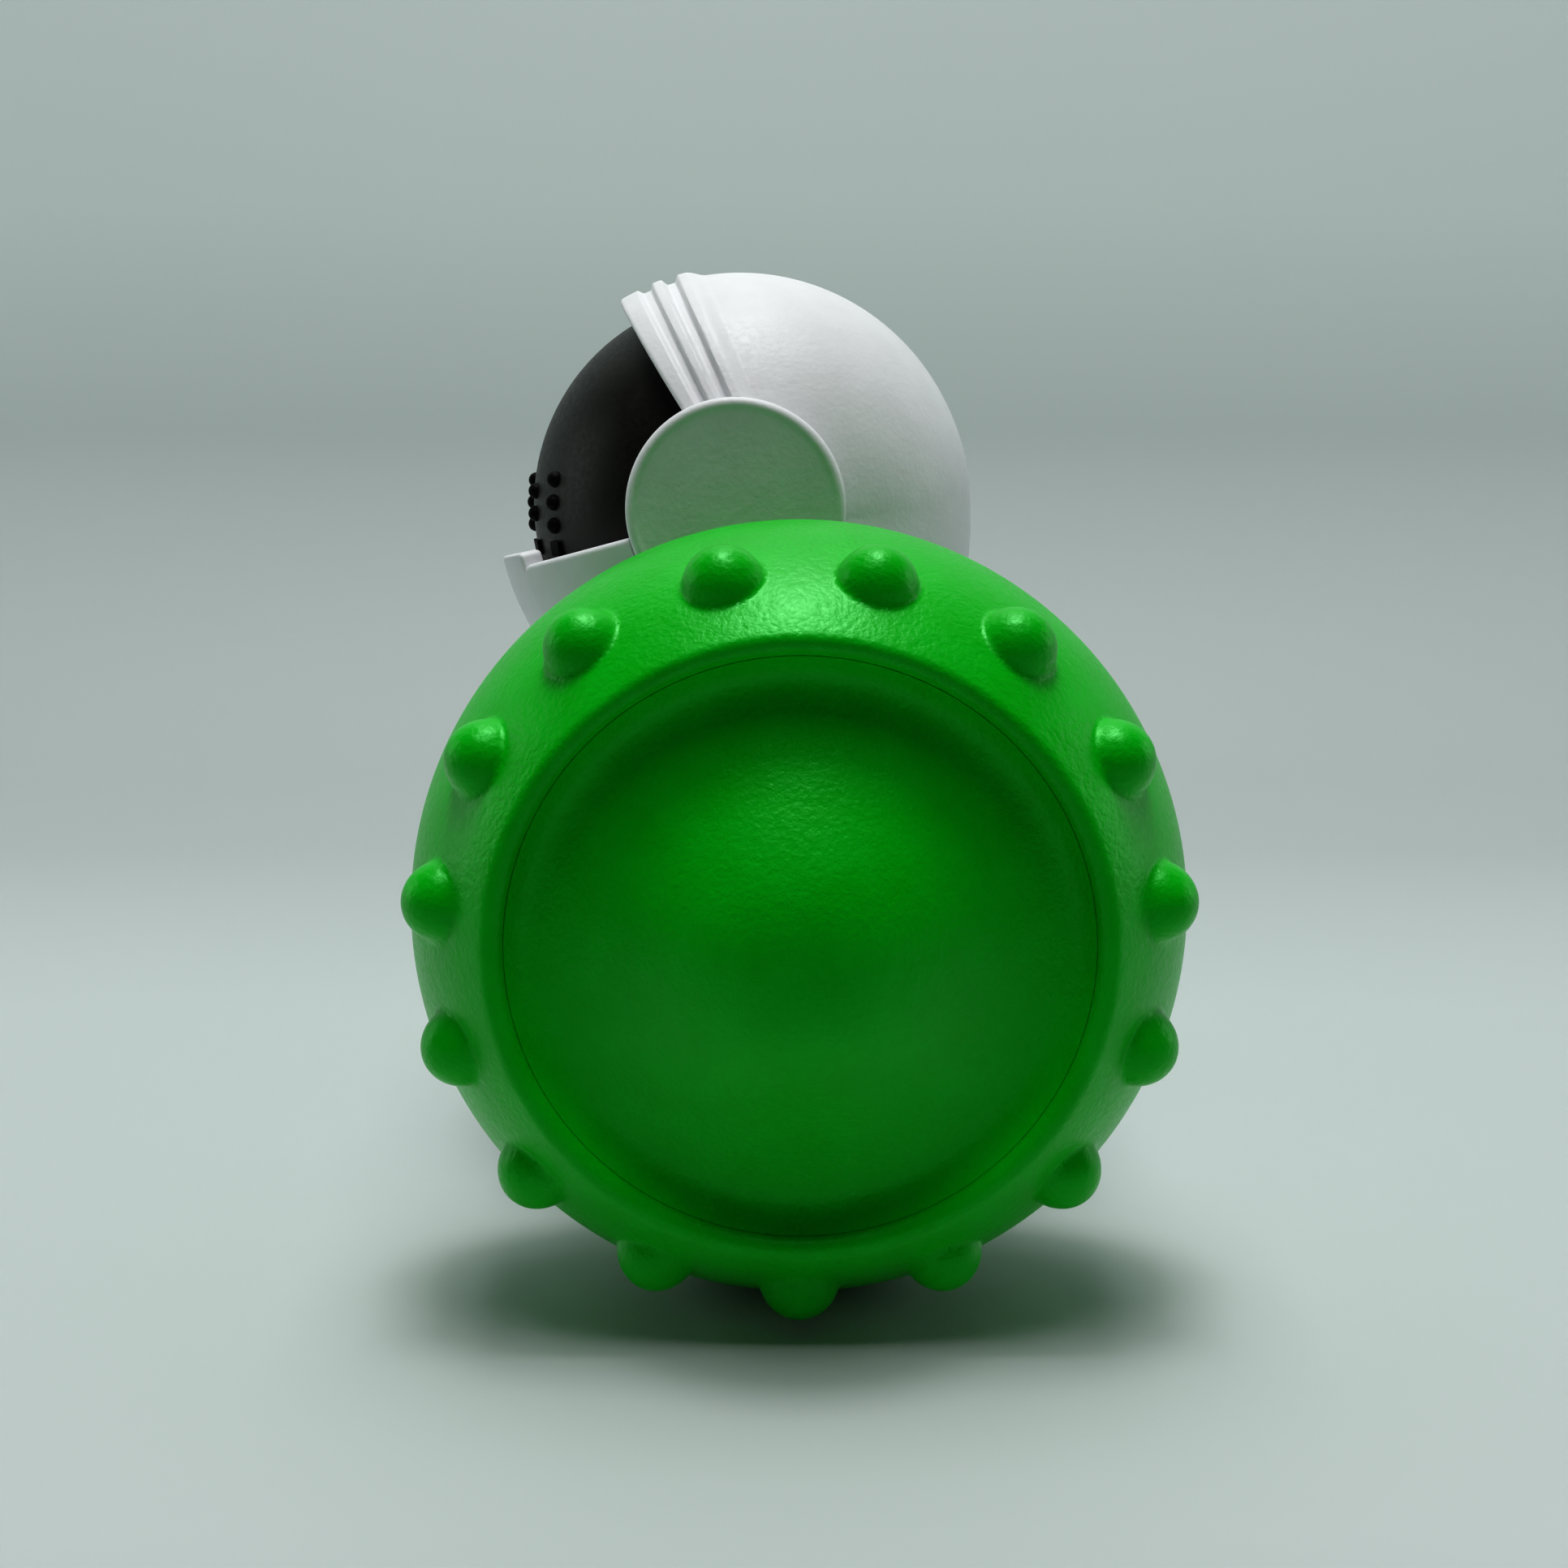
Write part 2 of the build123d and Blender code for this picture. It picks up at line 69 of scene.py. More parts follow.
# ---------------------------------------------------------------- proportions of a wheel
# A wheel's heights run outwards along the axle from its joint, its radii from the axle.
OUTER_BULGE = 0.82 * WHEEL_R
INNER_BULGE = 0.40 * WHEEL_R
SEAM = 1.0 * MM  # the two shells of a wheel meet this far inside its widest place
SHELL_WALL = 1.6 * MM
RIM_R = 14.1 * MM
RIM_ROUND = 0.65 * MM
DISH_R = 13.2 * MM
DISH_FLOOR = 3.4 * MM
FLOOR_WALL = 1.4 * MM
FLOOR_MIDDLE_R = 9 * MM
DISH_BACK = ((14.7 * MM, DISH_FLOOR - FLOOR_WALL), (15.0 * MM, 6 * MM))  # back of the dish wall
SPIGOT_R = (4.2 * MM, 5.15 * MM)
DOME_VALLEY = 8.9 * MM  # height of the hub dome's face round its bell-shaped middle
DOME_RISE = 5.7 * MM
DOME_SPREAD = 6.6 * MM
DOME_POWER = 2.5  # above 2, the top of the bell is flatter than a Gaussian's
DOME_LIP_START = 11.6 * MM
DOME_LIP_CURVE = 0.10 / MM**2  # the lip rises by this times the cube of the way out from its start
DOME_SEAM = 10.1 * MM  # height at which the dish wall's radius is taken for the dome's edge
DOME_PRESS = 0.01 * MM  # the dome's edge is this far outside the dish wall's radius at the seam
DOME_WALL = 1.3 * MM
DOME_EDGE_ROUND = 0.006 * MM
DOME_FOOT_GAP = 0.05 * MM
WHEEL_SEGMENTS = 720
DOME_SEGMENTS = 192

KNOB_COUNT = 15
KNOB_R = 2.05 * MM
KNOB_RING_R = 17.7 * MM
KNOB_SINK = 0.45 * MM
KNOB_FILLET = 0.20 * MM
KNOB_REACH = 3 * MM  # points further than this below a knob's base are on another part of the wheel
SHOULDER_POINTS = 72  # the shell's outline up to the rim, which is all that a knob may move

# ---------------------------------------------------------------- proportions of the head
# Radii run from the head's centre, angles in degrees about the ear axis from straight ahead, upwards.
HELMET_IN_R = 13.05 * MM
HELMET_OUT_R = 14.15 * MM
HELMET_EDGE_ROUND = 0.22 * MM
HELMET_FRONT = 59.4
HELMET_REAR = 225.0
HELMET_EAR_R = 6.0 * MM  # radius about the ear axis at which the shell goes over into the pivot ring
HELMET_RING_R = (1.25 * MM, 6.15 * MM)
HELMET_RING_Y = (12.15 * MM, 12.85 * MM)
HELMET_RELIEF_END = 81.6
HELMET_RELIEF = [  # angle and height of the helmet's surface, in rib heights
    (59.4, 0.9), (64.2, 0.9), (65.7, 0.05), (67.3, 0.05), (68.5, 1.0), (70.4, 1.0), (71.8, -0.08),
    (73.5, -0.08), (74.8, 1.0), (76.4, 1.0), (81.6, 0.0), (150, 0.0), (178, 0.2), (200, 1.15), (225, 1.3),
]
RIB_RISE = 0.38 * MM
RIB_FAN = 23.0 * MM  # the ribs' planes fan out from a line this far beyond the pivot
RIBS_END = 83
RIB_STEP = 0.32
SHELL_STEP = 1.6

STRAP_ANGLES = (-31.0, -15.0)
STRAP_R = (13.2 * MM, 15.3 * MM)
STRAP_SEAT_R = 13.75 * MM
STRAP_EAR_R = 6.25 * MM
STRAP_RING_R = (1.22 * MM, 5.8 * MM)
STRAP_RING_Y = (11.5 * MM, 12.05 * MM)
PLATE_ANGLES = (-31.0, -11.6)
PLATE_R = (13.75 * MM, 15.1 * MM)
PLATE_HALF_Y = 7.5 * MM
CAP_BEAD = 0.4 * MM
CAP_RECESS = 0.08 * MM
CAP_FOOT_ROUND = 0.1 * MM
CAP_PIN = (1.2 * MM, 1.2 * MM)  # radius and depth of the hole for the ear pin


# ---------------------------------------------------------------- mesh helpers
def new_object(name, vertices, faces, smooth_angle=40):
    mesh = bpy.data.meshes.new(name)
    mesh.from_pydata([tuple(v) for v in vertices], [], faces)
    mesh.validate()
    piece = bpy.data.objects.new(name, mesh)
    bpy.context.scene.collection.objects.link(piece)
    mesh.shade_smooth()
    mark_sharp(piece, smooth_angle)
    return piece


def mark_sharp(piece, angle):
    """Keeps edges steeper than the angle sharp, in the mesh itself."""
    work = bmesh.new()
    work.from_mesh(piece.data)
    for edge in work.edges:
        edge.smooth = len(edge.link_faces) == 2 and edge.calc_face_angle(0) < radians(angle)
    bmesh.ops.recalc_face_normals(work, faces=work.faces)
    work.to_mesh(piece.data)
    work.free()


def arc_points(centre, radius, start, end, steps):
    """Points of a circular arc, angles in radians."""
    angles = np.linspace(start, end, steps)
    return [(centre[0] + radius * cos(a), centre[1] + radius * sin(a)) for a in angles]


def ellipse_points(radius, half_width, start, end, steps):
    """Points of the wheel's ellipse from height start to height end, evenly spread."""
    angles = np.linspace(asin(start / half_width), asin(end / half_width), steps)
    return [(radius * cos(a), half_width * sin(a)) for a in angles]


def rounded(corners, steps=5):
    """A polyline with rounded corners; each corner is (x, y, radius)."""
    points = []
    count = len(corners)
    for i, (x, y, r) in enumerate(corners):
        here = Vector((x, y))
        if r == 0 or i in (0, count - 1):
            points.append((x, y))
            continue
        before = (Vector(corners[i - 1][:2]) - here).normalized()
        after = (Vector(corners[i + 1][:2]) - here).normalized()
        half = before.angle(after) / 2
        reach = r / np.tan(half)
        centre = here + (before + after).normalized() * (r / sin(half))
        first = here + before * reach - centre
        last = here + after * reach - centre
        turn = first.angle_signed(last)
        for step in range(steps + 1):
            angle = -turn * step / steps
            spoke = Vector(
                (first.x * cos(angle) - first.y * sin(angle), first.x * sin(angle) + first.y * cos(angle))
            )
            points.append(tuple(centre + spoke))
    return points


def revolve(name, profile, segments, closed=False, bend=None):
    """Turns a profile of (radius, height) about +Z. bend may move the points of the whole grid."""
    angles = np.linspace(0, 2 * pi, segments, endpoint=False)
    radius = np.array([p[0] for p in profile])
    height = np.array([p[1] for p in profile])
    grid = np.empty((segments, len(profile), 3))
    grid[..., 0] = np.cos(angles)[:, None] * radius
    grid[..., 1] = np.sin(angles)[:, None] * radius
    grid[..., 2] = height
    if bend:
        grid = bend(grid)
    return grid_object(name, grid, closed, radius)


def grid_object(name, grid, closed, radius):
    """Joins a grid that runs round in its first direction; zero radius ends close to one point."""
    segments, count, _ = grid.shape
    vertices = list(grid.reshape(-1, 3))
    index = np.arange(segments * count).reshape(segments, count)
    for column in (0, count - 1):
        if radius[column] == 0:
            index[:, column] = index[0, column]
    faces = []
    last = count if closed else count - 1
    for i in range(segments):
        j = (i + 1) % segments
        for k in range(last):
            m = (k + 1) % count
            corner = [index[i, k], index[j, k], index[j, m], index[i, m]]
            corner = list(dict.fromkeys(int(c) for c in corner))
            if len(corner) > 2:
                faces.append(corner)
    piece = new_object(name, vertices, faces)
    drop_loose(piece)
    return piece


def drop_loose(piece):
    work = bmesh.new()
    work.from_mesh(piece.data)
    loose = [v for v in work.verts if not v.link_faces]
    bmesh.ops.delete(work, geom=loose, context="VERTS")
    work.to_mesh(piece.data)
    work.free()


def place(piece, matrix):
    piece.data.transform(matrix)
    if matrix.determinant() < 0:
        piece.data.flip_normals()


def joined(name, pieces):
    """Puts several meshes into one object."""
    work = bmesh.new()
    for piece in pieces:
        work.from_mesh(piece.data)
        bpy.data.objects.remove(piece)
    mesh = bpy.data.meshes.new(name)
    work.to_mesh(mesh)
    work.free()
    result = bpy.data.objects.new(name, mesh)
    bpy.context.scene.collection.objects.link(result)
    return result


# ---------------------------------------------------------------- wheels
def rim_rounding():
    """Centre and ends of the arc that rounds the rim, between the ellipse and the dish wall."""
    rim_height = OUTER_BULGE * sqrt(1 - (RIM_R / WHEEL_R) ** 2)
    wall = Vector((DISH_R - RIM_R, DISH_FLOOR - rim_height)).normalized()
    into = Vector((-wall.y, wall.x))
    if into.x < 0:
        into = -into
    best = None
    for t in np.linspace(0.4, asin(rim_height / OUTER_BULGE), 4000):
        on_ellipse = Vector((WHEEL_R * cos(t), OUTER_BULGE * sin(t)))
        normal = Vector((cos(t) / WHEEL_R, sin(t) / OUTER_BULGE)).normalized()
        centre = on_ellipse - normal * RIM_ROUND
        depth = (centre - Vector((RIM_R, rim_height))).dot(into)
        if best is None or abs(depth - RIM_ROUND) < best[0]:
            best = (abs(depth - RIM_ROUND), centre, on_ellipse, centre - into * RIM_ROUND)
    return best[1:]


def outer_shell_profile():
    """Closed outline of the outer wheel shell: outside, dish wall, dish floor, then back inside."""
    centre, on_ellipse, on_wall = rim_rounding()
    outline = ellipse_points(WHEEL_R, INNER_BULGE, -SEAM + 0.15 * MM, 0, 5)
    outline += ellipse_points(WHEEL_R, OUTER_BULGE, 0, on_ellipse.y, 66)[1:]
    first = atan2(on_ellipse.y - centre.y, on_ellipse.x - centre.x)
    last = atan2(on_wall.y - centre.y, on_wall.x - centre.x) % (2 * pi)
    outline += arc_points(centre, RIM_ROUND, first, last, 12)[1:-1]
    steps = 24
    foot = Vector((DISH_R, DISH_FLOOR))
    outline += [tuple(on_wall.lerp(foot, i / steps)) for i in range(steps + 1)]
    for height, radii in (
        (DISH_FLOOR, (FLOOR_MIDDLE_R, SPIGOT_R[1])),
        (DISH_FLOOR - FLOOR_WALL, (SPIGOT_R[1], FLOOR_MIDDLE_R)),
    ):
        outline += [(radius, height) for radius in radii]
    outline += DISH_BACK
    inside_r = WHEEL_R - SHELL_WALL
    outline += ellipse_points(inside_r, OUTER_BULGE - SHELL_WALL, 0, DISH_BACK[-1][1], 12)[::-1]
    outline += [(inside_r, -SEAM), (WHEEL_R - 0.4 * MM, -SEAM)]
    return outline + [(WHEEL_R - 0.22 * MM, -SEAM + 0.04 * MM)]


def knob_profile(samples=64):
    """Radius and rise of a knob against the share of its base, so that points spread evenly over it."""
    foot = sqrt((KNOB_R + KNOB_FILLET) ** 2 - (KNOB_FILLET + KNOB_SINK) ** 2)
    dome_turn = atan2(foot, KNOB_FILLET + KNOB_SINK)
    dome = [(KNOB_R * sin(a), KNOB_R * cos(a) - KNOB_SINK) for a in np.linspace(0, dome_turn, samples)]
    fillet = [
        (foot - KNOB_FILLET * sin(a), KNOB_FILLET - KNOB_FILLET * cos(a))
        for a in np.linspace(dome_turn, 0, samples // 3)
    ]
    points = np.array(dome + fillet[1:])
    lengths = np.r_[0, np.cumsum(np.hypot(*np.diff(points, axis=0).T))]
    return foot, lengths / lengths[-1], points


def raise_knobs(grid):
    """Pulls the ring of knobs out of the wheel's shoulder."""
    height = OUTER_BULGE * sqrt(1 - (KNOB_RING_R / WHEEL_R) ** 2)
    normal = np.array([KNOB_RING_R / WHEEL_R**2, 0, height / OUTER_BULGE**2])
    normal /= np.linalg.norm(normal)
    foot, share, points = knob_profile()
    surface = grid[:, :SHOULDER_POINTS]
    for i in range(KNOB_COUNT):
        angle = -pi / 2 + 2 * pi * i / KNOB_COUNT
        turn = np.array([[cos(angle), -sin(angle), 0], [sin(angle), cos(angle), 0], [0, 0, 1]])
        centre = turn @ np.array([KNOB_RING_R, 0, height])
        axis = turn @ normal
        offset = surface - centre
        rise = offset @ axis
        flat = offset - rise[..., None] * axis
        distance = np.linalg.norm(flat, axis=-1)
        near = (distance < foot) & (rise > -KNOB_REACH)
        place_on = distance[near] / foot
        radius = np.interp(place_on, share, points[:, 0])
        lift = np.interp(place_on, share, points[:, 1])
        stretch = radius / np.maximum(distance[near], 1e-9)
        moved = centre + flat[near] * stretch[:, None] + (lift + rise[near] * stretch**2)[:, None] * axis
        surface[near] = moved
    return grid


def dome_height(radius):
    """Face of the hub dome: a bell, a valley round it and a lip that curls up to the rim."""
    bell_rise = DOME_RISE * np.exp(-((radius / DOME_SPREAD) ** DOME_POWER) / 2)
    return DOME_VALLEY + bell_rise + DOME_LIP_CURVE * np.maximum(0.0, radius - DOME_LIP_START) ** 3


def wall_radius(height):
    """Radius of the dish wall at a height."""
    rim_height = OUTER_BULGE * sqrt(1 - (RIM_R / WHEEL_R) ** 2)
    return DISH_R + (RIM_R - DISH_R) * (height - DISH_FLOOR) / (rim_height - DISH_FLOOR)


def hub_dome_profile():
    """Outline of the bell-shaped hub dome, its skirt and its spigot."""
    edge = wall_radius(DOME_SEAM) + DOME_PRESS
    foot = DISH_FLOOR + DOME_FOOT_GAP
    foot_r = wall_radius(foot) - DOME_PRESS
    radii = np.linspace(0, edge - DOME_EDGE_ROUND, 70)
    outline = list(zip(radii, dome_height(radii)))
    centre = (edge - DOME_EDGE_ROUND, outline[-1][1] - DOME_EDGE_ROUND)
    outline += arc_points(centre, DOME_EDGE_ROUND, pi / 2, 0, 4)[1:]
    outline += [(foot_r, foot), (foot_r - DOME_WALL, foot)]
    spigot_in, spigot_out = SPIGOT_R
    radii = np.linspace(edge - DOME_WALL, spigot_out, 24)
    outline += list(zip(radii, dome_height(radii) - DOME_WALL))
    floor = DISH_FLOOR - FLOOR_WALL
    outline += [(spigot_out, floor), (spigot_in, floor)]
    radii = np.linspace(spigot_in, 0, 12)
    return outline + list(zip(radii, dome_height(radii) - DOME_WALL))


# Turns a piece made upright about +Z so that its height runs outwards along the axle on either side.
SIDES = {
    "left": Matrix(((1, 0, 0, 0), (0, 0, -1, 0), (0, 1, 0, 0), (0, 0, 0, 1))),
    "right": Matrix(((-1, 0, 0, 0), (0, 0, 1, 0), (0, 1, 0, 0), (0, 0, 0, 1))),
}


def build_wheels():
    for side, turn in SIDES.items():
        sign = -1 if side == "left" else 1
        put = Matrix.Translation((0, sign * WHEEL_Y, AXLE_Z)) @ turn
        shell = revolve(
            f"{side}_wheel_shell_skin", outer_shell_profile(), WHEEL_SEGMENTS, closed=True, bend=raise_knobs
        )
        dome = revolve(f"{side}_hub_dome_skin", hub_dome_profile(), DOME_SEGMENTS)
        for piece, node in ((shell, "wheel_outer_shell"), (dome, "wheel_hub_dome")):
            place(piece, put)
            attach(piece, f"{side}_wheel")
            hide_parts(f"{side}_{node}")
            piece.data.materials.append(MATERIALS["wheel_green"])


# ---------------------------------------------------------------- helmet, strap and plate
def eased(points, at):
    """Smooth steps between (place, value) points."""
    places = np.array([p[0] for p in points])
    values = np.array([p[1] for p in points])
    at = np.clip(at, places[0], places[-1])
    index = np.clip(np.searchsorted(places, at) - 1, 0, len(places) - 2)
    share = (at - places[index]) / (places[index + 1] - places[index])
    share = share * share * (3 - 2 * share)
    return values[index] + share * (values[index + 1] - values[index])


def helmet_radius(angle):
    return HELMET_OUT_R + RIB_RISE * eased(HELMET_RELIEF, angle)


def rib_fan(angles, across):
    """Where the ribs' planes cut a circle of this radius about the pivot.

    angles name the planes by where they cut the middle of the helmet. The planes fan out from a line
    beyond the pivot, and behind the last rib the angles spread back out to the rear edge.
    """
    middle = HELMET_OUT_R + RIB_RISE
    last = HELMET_RELIEF_END
    behind = np.radians(np.minimum(angles, last) - HELMET_FRONT)
    turn = np.arctan2(middle * np.sin(behind), middle * np.cos(behind) + RIB_FAN)
    fanned = HELMET_FRONT + np.degrees(turn + np.arcsin(RIB_FAN * np.sin(turn) / across))
    share = np.maximum(angles - last, 0) / (HELMET_REAR - last)
    return fanned + share * (HELMET_REAR - fanned)


def lune(name, angles, columns, inner, outer, edge, corner=0.0, ends=(False, False), fan=None):
    """A shell between two planes through the pivot axis.

    angles are degrees about that axis from straight ahead, upwards, for the outer surface; columns are
    latitudes in radians, from one ear towards the other; inner and outer give radii. The four long edges
    are rounded by edge. ends says which end columns are rounded off too, with corners of that radius.
    fan, if given, moves the angles of a column; outer still goes by the angles before that.
    """
    reference = outer(np.array([angles[0]]))[0]
    places = np.sin(columns) * reference
    grid = []
    for column, place_y in zip(columns, places):
        across = cos(column) * reference
        inset_edge = inset_corner = 0.0
        for rounded_end, at in zip(ends, (places[0], places[-1])):
            if rounded_end:
                gap = abs(place_y - at)
                if gap < edge:
                    inset_edge = edge - sqrt(edge**2 - (edge - gap) ** 2)
                if gap < corner:
                    inset_corner = corner - sqrt(corner**2 - (corner - gap) ** 2)
        low = angles[0] + np.degrees(inset_corner / across)
        high = angles[-1] - np.degrees(inset_corner / across)
        delta = np.degrees(edge / across)
        spread = np.interp(angles, (angles[0], angles[-1]), (low + delta, high - delta))
        out = outer(spread) - inset_edge
        if fan:
            spread = fan(spread, across)
            low, high = spread[0] - delta, spread[-1] + delta
        inn = np.full_like(spread, inner) + inset_edge
        turn = np.linspace(0, pi / 2, 5)[1:]
        loop = list(zip(spread, out))
        loop += [(high - delta + delta * sin(t), out[-1] - edge * (1 - cos(t))) for t in turn]
        loop += [(high - delta + delta * cos(t), inn[-1] + edge * (1 - sin(t))) for t in np.r_[0, turn]]
        loop += list(zip(spread[::-3], inn[::-3]))[1:]
        loop += [(low + delta - delta * sin(t), inn[0] + edge * (1 - cos(t))) for t in turn]
        loop += [(low + delta - delta * cos(t), out[0] - edge * (1 - sin(t))) for t in np.r_[0, turn[:-1]]]
        alpha = np.radians([p[0] for p in loop])
        radius = np.array([p[1] for p in loop])
        u = radius * cos(column)
        grid.append(np.stack([-u * np.cos(alpha), radius * sin(column), u * np.sin(alpha)], axis=-1))
    grid = np.array(grid).transpose(1, 0, 2)
    rows, count, _ = grid.shape
    index = np.arange(rows * count).reshape(rows, count)
    faces = [
        (index[i, k], index[(i + 1) % rows, k], index[(i + 1) % rows, k + 1], index[i, k + 1])
        for i in range(rows)
        for k in range(count - 1)
    ]
    faces = [tuple(int(v) for v in face) for face in faces]
    faces.append(tuple(int(v) for v in index[:, 0]))
    faces.append(tuple(int(v) for v in index[:, -1]))
    piece = new_object(name, grid.reshape(-1, 3), faces)
    place(piece, Matrix.Translation(HEAD))
    return piece


def pivot_ring(name, radii, places, side):
    """Flat ring round the ear pin on one side: its radii, and its places outwards from the head's centre."""
    inner, outer = radii
    low, high = places
    edge = 0.1 * MM
    hole_edge = 0.02 * MM
    middle = (low + high) / 2
    profile = rounded(
        [(inner, middle, 0), (inner, low, hole_edge), (outer, low, edge), (outer, high, edge),
         (inner, high, hole_edge), (inner, middle + 0.001 * MM, 0)],
        3,
    )
    ring = revolve(name, profile, 96, closed=True)
    place(ring, Matrix.Translation(HEAD) @ SIDES[side])
    return ring


def build_helmet():
    angles = np.r_[
        np.arange(HELMET_FRONT, RIBS_END, RIB_STEP), np.arange(RIBS_END, HELMET_REAR, SHELL_STEP), HELMET_REAR
    ]
    reach = acos(HELMET_EAR_R / HELMET_OUT_R)
    columns = np.linspace(-reach, reach, 91)
    shell = lune("helmet_body", angles, columns, HELMET_IN_R, helmet_radius, HELMET_EDGE_ROUND, fan=rib_fan)
    rings = [pivot_ring(f"ring_{side}", HELMET_RING_R, HELMET_RING_Y, side) for side in SIDES]
    piece = joined("helmet_skin", [shell, *rings])
    finish_piece(piece, "helmet", ["helmet_shell"], "helmet_white")


def constant(radius):
    """A lune's outer surface of one radius."""
    return lambda angles: np.full_like(angles, radius)


def build_strap():
    """The strap, which is thinner under the chin plate, and the plate that fills that seat."""
    parts = []
    angles = np.linspace(*STRAP_ANGLES, 14)
    first = asin(PLATE_HALF_Y / STRAP_R[1]) + 0.004
    last = acos(STRAP_EAR_R / STRAP_R[1])
    columns = first + (last - first) * np.linspace(0, 1, 46) ** 1.6
    for sign, label in ((-1, "left"), (1, "right")):
        parts.append(
            lune(f"cheek_{label}", angles, sign * columns, STRAP_R[0], constant(STRAP_R[1]),
                 0.3 * MM, 0.9 * MM, (True, False))
        )
        parts.append(pivot_ring(f"strap_ring_{label}", STRAP_RING_R, STRAP_RING_Y, label))
    seat = np.linspace(-first - 0.01, first + 0.01, 31)
    parts.append(
        lune("strap_seat", angles, seat, STRAP_R[0], constant(STRAP_SEAT_R - 0.02 * MM), 0.1 * MM)
    )
    piece = joined("chin_strap_skin", parts)
    finish_piece(piece, "head", ["chin_strap"], "helmet_white")

    reach = asin(PLATE_HALF_Y / PLATE_R[1]) - 0.004
    spread = reach * np.sin(np.linspace(-pi / 2, pi / 2, 61))
    plate = lune("chin_plate_skin", np.linspace(*PLATE_ANGLES, 16), spread, PLATE_R[0], constant(PLATE_R[1]),
                 0.18 * MM, 0.35 * MM, (True, True))
    finish_piece(plate, "head", ["chin_plate"], "helmet_white")


def build_ear_caps():
    """Round caps with a bead round a slightly sunk face and a hole for the pin behind."""
    low, high = EAR_Y
    hole_r, hole_depth = CAP_PIN
    foot = CAP_FOOT_ROUND
    for side, turn in SIDES.items():
        profile = [(0, low + hole_depth), (hole_r, low + hole_depth), (hole_r, low), (EAR_R - 0.2 * MM, low)]
        foot_corner = (EAR_R, low + foot, foot / 2)
        profile += rounded([(EAR_R - foot, low, 0), foot_corner, (EAR_R, high - CAP_BEAD, 0)], 3)
        centre = (EAR_R - CAP_BEAD, high - CAP_BEAD)
        profile += arc_points(centre, CAP_BEAD, 0, pi / 2 + 0.35, 12)
        bead_end = profile[-1][0]
        face = high - CAP_RECESS
        profile += [(bead_end - 0.12 * MM, face + 0.02 * MM), (bead_end - 0.3 * MM, face)]
        profile += [(3 * MM, face), (0, face)]
        cap = revolve(f"{side}_ear_cap_skin", profile, 160)
        place(cap, Matrix.Translation(HEAD) @ turn)
        finish_piece(cap, "head", [f"{side}_ear_cap"], "helmet_white")


def finish_piece(piece, body, nodes, slot):
    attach(piece, body)
    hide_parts(*nodes)
    piece.data.materials.clear()
    piece.data.materials.append(MATERIALS[slot])


# ---------------------------------------------------------------- materials
def node_material(name):
    material = bpy.data.materials.new(name)
    material.use_nodes = True
    tree = material.node_tree
    shader = next(n for n in tree.nodes if n.type == "BSDF_PRINCIPLED")
    return material, tree, shader


def object_place(tree):
    """The point on the object, from the material's one texture coordinate node."""
    coords = next((n for n in tree.nodes if n.type == "TEX_COORD"), None)
    if coords is None:
        coords = tree.nodes.new("ShaderNodeTexCoord")
    return coords.outputs["Object"]


def noise(tree, scale, detail=2.0, rough=0.5):
    node = tree.nodes.new("ShaderNodeTexNoise")
    tree.links.new(object_place(tree), node.inputs["Vector"])
    node.inputs["Scale"].default_value = scale
    node.inputs["Detail"].default_value = detail
    node.inputs["Roughness"].default_value = rough
    return node.outputs["Fac"]


def ramp(tree, source, low, high, first, last):
    node = tree.nodes.new("ShaderNodeMapRange")
    tree.links.new(source, node.inputs["Value"])
    node.inputs["From Min"].default_value = low
    node.inputs["From Max"].default_value = high
    node.inputs["To Min"].default_value = first
    node.inputs["To Max"].default_value = last
    return node.outputs["Result"]


def mixed_colour(tree, factor, first, last):
    node = tree.nodes.new("ShaderNodeMix")
    node.data_type = "RGBA"
    tree.links.new(factor, node.inputs["Factor"])
    node.inputs["A"].default_value = (*first, 1)
    node.inputs["B"].default_value = (*last, 1)
    return node.outputs["Result"]


def bumped(tree, shader, heights):
    """Chains bump nodes; heights are (socket, strength, distance in metres)."""
    before = None
    for socket, strength, distance in heights:
        bump = tree.nodes.new("ShaderNodeBump")
        bump.inputs["Strength"].default_value = strength
        bump.inputs["Distance"].default_value = distance
        tree.links.new(socket, bump.inputs["Height"])
        if before:
            tree.links.new(before, bump.inputs["Normal"])
        before = bump.outputs["Normal"]
    tree.links.new(before, shader.inputs["Normal"])


def moulded_plastic(name, dark, light, roughness, grain, depth, blotch=400.0, tint=(1, 1, 1), gloss=0.5):
    """Moulded plastic: spark-eroded grain, slight colour drift, roughness that follows the grain."""
    material, tree, shader = node_material(name)
    fine = noise(tree, grain)
    coarse = noise(tree, grain / 3)
    drift = noise(tree, blotch)
    colour = mixed_colour(tree, ramp(tree, drift, 0.3, 0.7, 0, 1), dark, light)
    tree.links.new(colour, shader.inputs["Base Color"])
    rough = ramp(tree, fine, 0.3, 0.7, roughness - 0.05, roughness + 0.07)
    tree.links.new(rough, shader.inputs["Roughness"])
    shader.inputs["Specular Tint"].default_value = (*tint, 1)
    shader.inputs["Specular IOR Level"].default_value = gloss
    bumped(tree, shader, [(coarse, 0.5, depth * 1.6), (fine, 0.9, depth)])
    return material


def metal(name, colour, roughness, scratch):
    material, tree, shader = node_material(name)
    lines = noise(tree, scratch, 4.0, 0.6)
    darker = [0.85 * c for c in colour]
    tree.links.new(mixed_colour(tree, lines, darker, colour), shader.inputs["Base Color"])
    rough = ramp(tree, lines, 0.3, 0.7, roughness - 0.06, roughness + 0.1)
    tree.links.new(rough, shader.inputs["Roughness"])
    shader.inputs["Metallic"].default_value = 1.0
    bumped(tree, shader, [(lines, 0.4, 0.01 * MM)])
    return material


